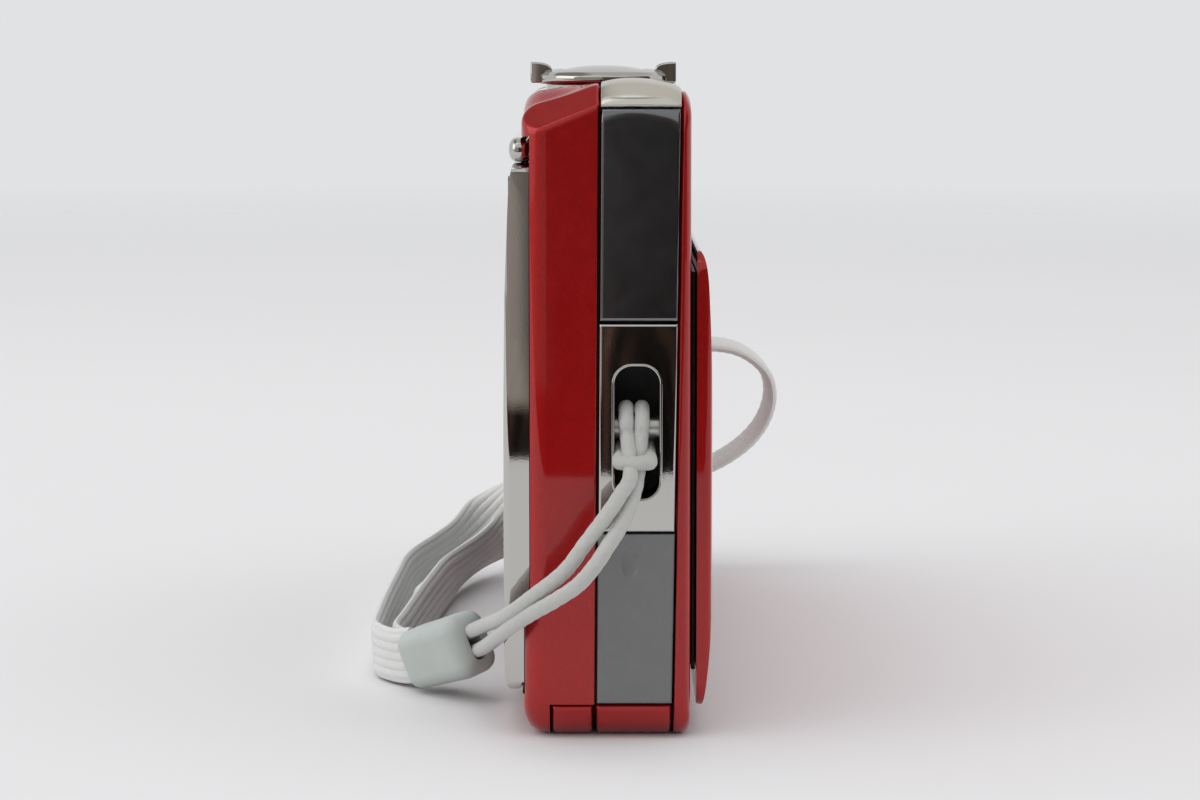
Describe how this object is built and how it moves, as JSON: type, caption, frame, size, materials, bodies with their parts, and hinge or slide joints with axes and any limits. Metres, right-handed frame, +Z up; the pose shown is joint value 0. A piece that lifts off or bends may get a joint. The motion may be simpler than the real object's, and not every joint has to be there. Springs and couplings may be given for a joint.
{
  "type": "compact digital camera",
  "caption": "Slim pocket camera with a sliding front lens cover, rear display and keys, top zoom ring, end covers over its connectors, and a wrist strap.",
  "frame": {"origin": "under the middle of the camera, on the surface that it stands on", "axes": "+Z up, +Y towards the display side, -Y towards the lens, -X towards the end with the strap lug and the connector covers"},
  "size_m": [0.1144, 0.0449, 0.0597],
  "materials": {
    "red_paint": "metallic clear-coated",
    "silver_plate": "satin plated",
    "chrome_trim": "polished",
    "gunmetal_gloss": "glossy, slightly metallic",
    "satin_grey": "satin",
    "black_plastic": "fine texture",
    "dark_glass": "polished",
    "clear_glass": "polished",
    "sheet_steel": "stamped",
    "board_green": "solder mask",
    "battery_grey": "sleeved",
    "brass_insert": "machined",
    "orange_plastic": "moulded",
    "cord_grey": "braided",
    "band_grey": "woven ribbing",
    "block_grey": "soft-touch moulded"
  },
  "bodies": {
    "root": {"front_shell": "red_paint", "rear_shell": "red_paint", "top_plate": "silver_plate", "end_band": "silver_plate", "base_plate": "red_paint", "lug_plate": "chrome_trim", "lug_pocket": "black_plastic", "lug_bar": "chrome_trim", "jack_frame": "black_plastic", "hdmi_socket": "sheet_steel", "usb_socket": "sheet_steel", "jack_board": "board_green", "rear_bezel": "chrome_trim", "rear_rail": "chrome_trim", "lcd_panel": "black_plastic", "lcd_glass": "dark_glass", "control_plate": "gunmetal_gloss", "key_board": "board_green", "lens_ring": "chrome_trim", "lens_glass": "dark_glass", "lens_housing": "black_plastic", "prism": "clear_glass", "image_sensor": "board_green", "flash_window": "clear_glass", "flash_reflector": "sheet_steel", "af_lamp": "orange_plastic", "flash_capacitor": "black_plastic", "top_board": "board_green", "shutter_switch": "black_plastic", "main_board": "board_green", "chassis": "sheet_steel", "base_screw": "sheet_steel", "tripod_socket": "brass_insert", "battery_holder": "black_plastic", "battery": "battery_grey", "battery_spring": "sheet_steel", "memory_card": "black_plastic", "card_slot": "sheet_steel", "door_pin": "sheet_steel", "strap_cord": "cord_grey", "strap_band": "band_grey", "strap_block": "block_grey"},
    "cover": {"slide_cover": "red_paint", "slide_carrier": "black_plastic"},
    "zoom_lever": {"zoom_ring": "chrome_trim"},
    "shutter": {"shutter_button": "chrome_trim"},
    "power": {"power_button": "chrome_trim"},
    "movie_key": {"movie_button": "chrome_trim"},
    "playback_key": {"playback_button": "chrome_trim"},
    "menu_key": {"menu_button": "chrome_trim"},
    "nav_base": {"nav_rocker": "black_plastic"},
    "nav_pad": {"nav_ring": "chrome_trim"},
    "ok_key": {"ok_button": "chrome_trim"},
    "hdmi_flap": {"hdmi_cover": "gunmetal_gloss"},
    "usb_flap": {"usb_cover": "satin_grey"},
    "door": {"battery_door": "red_paint"},
    "latch": {"door_latch": "red_paint"},
    "lock": {"battery_lock": "orange_plastic"},
    "zoom_optics": {"zoom_group": "black_plastic"},
    "focus_optics": {"focus_group": "black_plastic"}
  },
  "joints": [
    {"name": "cover_slide", "type": "slide", "parent": "root", "child": "cover", "axis": [0, 0, 1], "range_m": [0, 0.0124]},
    {"name": "zoom_turn", "type": "hinge", "parent": "root", "child": "zoom_lever", "pos_m": [-0.033, 0.0004, 0.058], "axis": [0, 0, 1], "range_deg": [-20, 20], "stiffness_Nm_per_rad": 0.02},
    {"name": "shutter_press", "type": "slide", "parent": "root", "child": "shutter", "axis": [0, 0, -1], "range_m": [0, 0.0005], "stiffness_N_per_m": 900, "springref_m": -0.0005},
    {"name": "power_press", "type": "slide", "parent": "root", "child": "power", "axis": [0, 0, -1], "range_m": [0, 0.00035], "stiffness_N_per_m": 900, "springref_m": -0.0005},
    {"name": "movie_press", "type": "slide", "parent": "root", "child": "movie_key", "axis": [0, -1, 0], "range_m": [0, 0.00035], "stiffness_N_per_m": 800, "springref_m": -0.0004},
    {"name": "playback_press", "type": "slide", "parent": "root", "child": "playback_key", "axis": [0, -1, 0], "range_m": [0, 0.00035], "stiffness_N_per_m": 800, "springref_m": -0.0004},
    {"name": "menu_press", "type": "slide", "parent": "root", "child": "menu_key", "axis": [0, -1, 0], "range_m": [0, 0.00035], "stiffness_N_per_m": 800, "springref_m": -0.0004},
    {"name": "ok_press", "type": "slide", "parent": "root", "child": "ok_key", "axis": [0, -1, 0], "range_m": [0, 0.00035], "stiffness_N_per_m": 800, "springref_m": -0.0004},
    {"name": "nav_up_down", "type": "hinge", "parent": "root", "child": "nav_base", "pos_m": [-0.0314, 0.0066, 0.02705], "axis": [1, 0, 0], "range_deg": [-2.2, 2.2], "stiffness_Nm_per_rad": 0.3},
    {"name": "nav_left_right", "type": "hinge", "parent": "nav_base", "child": "nav_pad", "pos_m": [-0.0314, 0.008, 0.02705], "axis": [0, 0, 1], "range_deg": [-2.2, 2.2], "stiffness_Nm_per_rad": 0.3},
    {"name": "hdmi_open", "type": "hinge", "parent": "root", "child": "hdmi_flap", "pos_m": [-0.048, -0.00625, 0.0464], "axis": [0, 0, 1], "range_deg": [0, 100]},
    {"name": "usb_open", "type": "hinge", "parent": "root", "child": "usb_flap", "pos_m": [-0.048, -0.0025, 0.00312], "axis": [0, -1, 0], "range_deg": [0, 95]},
    {"name": "door_open", "type": "hinge", "parent": "root", "child": "door", "pos_m": [-0.0051, 0, 0.00075], "axis": [0, -1, 0], "range_deg": [0, 95]},
    {"name": "latch_slide", "type": "slide", "parent": "door", "child": "latch", "axis": [1, 0, 0], "range_m": [0, 0.0016]},
    {"name": "lock_slide", "type": "slide", "parent": "root", "child": "lock", "axis": [0, 1, 0], "range_m": [0, 0.0013], "stiffness_N_per_m": 200, "springref_m": -0.0005},
    {"name": "zoom_travel", "type": "slide", "parent": "root", "child": "zoom_optics", "axis": [0, 0, 1], "range_m": [-0.004, 0.012]},
    {"name": "focus_travel", "type": "slide", "parent": "root", "child": "focus_optics", "axis": [0, 0, 1], "range_m": [-0.004, 0.004]}
  ]
}
